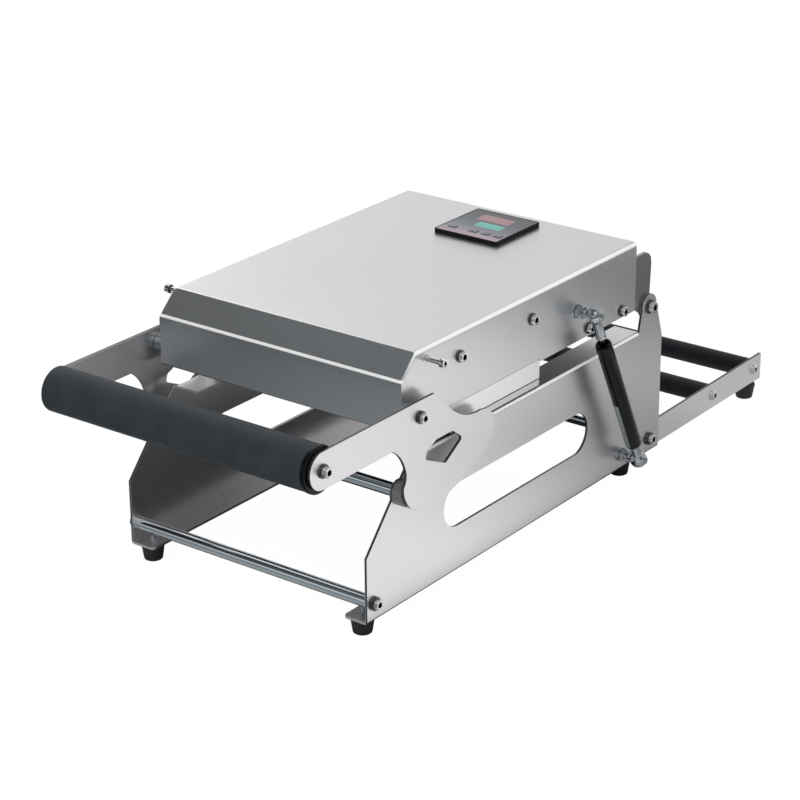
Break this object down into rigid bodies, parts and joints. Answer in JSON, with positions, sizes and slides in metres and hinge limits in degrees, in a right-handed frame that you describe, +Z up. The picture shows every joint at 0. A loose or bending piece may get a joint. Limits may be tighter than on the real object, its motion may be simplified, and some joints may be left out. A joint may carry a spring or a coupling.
{
  "type": "tray sealer",
  "caption": "Manual tray sealer: steel side frames, hinged heating head with controller, pull-down lever with grip bar, gas struts, rear film roller cradle.",
  "frame": {"origin": "centre of the bounding box on the plane the feet stand on", "axes": "+X to the right side seen from the handle, +Y from the handle to the film cradle, +Z up"},
  "size_m": [0.3276, 0.7618, 0.2457],
  "materials": {
    "steel_sheet": "brushed",
    "screw_steel": "satin",
    "chrome_bar": "polished",
    "grey_bush": "satin",
    "black_rubber": "matte",
    "grip_foam": "matte",
    "gloss_black": "gloss",
    "black_paint": "satin",
    "aluminium": "satin",
    "insulation": "matte",
    "seal_silicone": "matte",
    "roller_grey": "satin",
    "dark_plastic": "satin",
    "display_red": "gloss",
    "display_green": "gloss",
    "key_grey": "matte"
  },
  "bodies": {
    "frame": {"frame_plate_right": "steel_sheet", "frame_plate_left": "steel_sheet", "cross_rods": "chrome_bar", "guide_bushes": "grey_bush", "frame_screws": "screw_steel", "mould_strips": "black_rubber", "mould_plate": "steel_sheet", "mould_seal": "seal_silicone", "mould_pins": "screw_steel", "cradle_rail_right": "steel_sheet", "cradle_rail_left": "steel_sheet", "rubber_feet": "black_rubber", "foot_studs": "screw_steel", "roller_axles": "chrome_bar", "hinge_bolts": "screw_steel", "ball_studs_low": "chrome_bar"},
    "roller_front": {"film_roller_front": "roller_grey"},
    "roller_rear": {"film_roller_rear": "roller_grey"},
    "head": {"head_cover": "steel_sheet", "hinge_bracket_right": "steel_sheet", "hinge_bracket_left": "steel_sheet", "head_screws": "screw_steel", "stop_pins": "screw_steel", "tool_brackets": "steel_sheet", "tool_frame": "aluminium", "cut_blade": "steel_sheet", "heating_plate": "aluminium", "heaters": "screw_steel", "insulation_pad": "insulation", "pressure_plate": "aluminium", "thermocouple": "screw_steel", "bridge_plate": "steel_sheet", "guide_bolts": "screw_steel", "press_springs": "steel_sheet", "bottom_pan": "black_paint", "controller_body": "dark_plastic", "controller_bezel": "dark_plastic", "display_upper": "display_red", "display_lower": "display_green", "cable_gland": "dark_plastic", "pivot_studs": "screw_steel", "ball_studs_top": "chrome_bar"},
    "lever": {"lever_arm_right": "steel_sheet", "lever_arm_left": "steel_sheet", "handle_core": "chrome_bar", "handle_screws": "screw_steel"},
    "grip": {"handle_grip": "grip_foam", "grip_rings": "gloss_black"},
    "tube_right": {"strut_tube_right": "black_paint", "socket_low_right": "chrome_bar"},
    "tube_left": {"strut_tube_left": "black_paint", "socket_low_left": "chrome_bar"},
    "rod_right": {"strut_rod_right": "black_paint", "socket_top_right": "chrome_bar"},
    "rod_left": {"strut_rod_left": "black_paint", "socket_top_left": "chrome_bar"},
    "key_1": {"key_1": "key_grey"},
    "key_2": {"key_2": "key_grey"},
    "key_3": {"key_3": "key_grey"},
    "key_4": {"key_4": "key_grey"}
  },
  "joints": [
    {"name": "head_lift", "type": "hinge", "parent": "frame", "child": "head", "pos_m": [0, 0.1519, 0.169], "axis": [-1, 0, 0], "range_deg": [0, 55]},
    {"name": "lever_turn", "type": "hinge", "parent": "head", "child": "lever", "pos_m": [0, -0.2301, 0.1897], "axis": [-1, 0, 0], "range_deg": [0, 98]},
    {"name": "grip_spin", "type": "hinge", "parent": "lever", "child": "grip", "pos_m": [0, -0.3601, 0.188], "axis": [1, 0, 0], "continuous": true},
    {"name": "roller_front_spin", "type": "hinge", "parent": "frame", "child": "roller_front", "pos_m": [0, 0.2839, 0.03277], "axis": [1, 0, 0], "continuous": true},
    {"name": "roller_rear_spin", "type": "hinge", "parent": "frame", "child": "roller_rear", "pos_m": [0, 0.3659, 0.03423], "axis": [1, 0, 0], "continuous": true},
    {"name": "strut_tube_right_tilt", "type": "hinge", "parent": "frame", "child": "tube_right", "pos_m": [0.155, 0.1069, 0.032], "axis": [-1, 0, 0], "range_deg": [-1, 26.8]},
    {"name": "strut_rod_right_tilt", "type": "hinge", "parent": "head", "child": "rod_right", "pos_m": [0.155, 0.0234, 0.204], "axis": [-1, 0, 0], "range_deg": [-30.2, 1]},
    {"name": "strut_tube_left_tilt", "type": "hinge", "parent": "frame", "child": "tube_left", "pos_m": [-0.155, 0.1069, 0.032], "axis": [-1, 0, 0], "range_deg": [-1, 26.8]},
    {"name": "strut_rod_left_tilt", "type": "hinge", "parent": "head", "child": "rod_left", "pos_m": [-0.155, 0.0234, 0.204], "axis": [-1, 0, 0], "range_deg": [-30.2, 1]},
    {"name": "key_1_press", "type": "slide", "parent": "head", "child": "key_1", "axis": [0, 0, -1], "range_m": [0, 0.0007], "stiffness_N_per_m": 600, "springref_m": -0.0002},
    {"name": "key_2_press", "type": "slide", "parent": "head", "child": "key_2", "axis": [0, 0, -1], "range_m": [0, 0.0007], "stiffness_N_per_m": 600, "springref_m": -0.0002},
    {"name": "key_3_press", "type": "slide", "parent": "head", "child": "key_3", "axis": [0, 0, -1], "range_m": [0, 0.0007], "stiffness_N_per_m": 600, "springref_m": -0.0002},
    {"name": "key_4_press", "type": "slide", "parent": "head", "child": "key_4", "axis": [0, 0, -1], "range_m": [0, 0.0007], "stiffness_N_per_m": 600, "springref_m": -0.0002}
  ],
  "couplings": [
    {"joint": "strut_tube_right_tilt", "follows": "head_lift", "ratio": 0.469},
    {"joint": "strut_rod_right_tilt", "follows": "head_lift", "ratio": -0.531},
    {"joint": "strut_tube_left_tilt", "follows": "head_lift", "ratio": 0.469},
    {"joint": "strut_rod_left_tilt", "follows": "head_lift", "ratio": -0.531}
  ]
}
